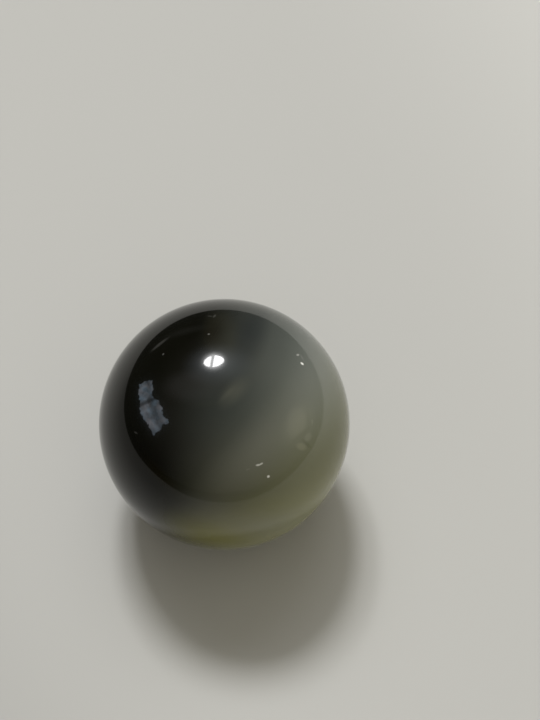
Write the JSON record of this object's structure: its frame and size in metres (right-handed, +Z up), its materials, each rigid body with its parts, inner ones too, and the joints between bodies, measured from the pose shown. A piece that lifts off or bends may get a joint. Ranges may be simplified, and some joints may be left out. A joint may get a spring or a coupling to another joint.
{
  "type": "glass marble",
  "caption": "Solid playing marble of smoky translucent glass, near black on one side and milky grey-green on the other.",
  "frame": {"origin": "centre of the ball", "axes": "+Z up, through the centre; +X towards the milky grey-green side, so the dark side faces -X; +Y away from the viewer"},
  "size_m": [0.016, 0.016, 0.016],
  "materials": {
    "smoky_glass": "fire-polished, glossy"
  },
  "bodies": {
    "root": {"marble": "smoky_glass"}
  },
  "joints": []
}
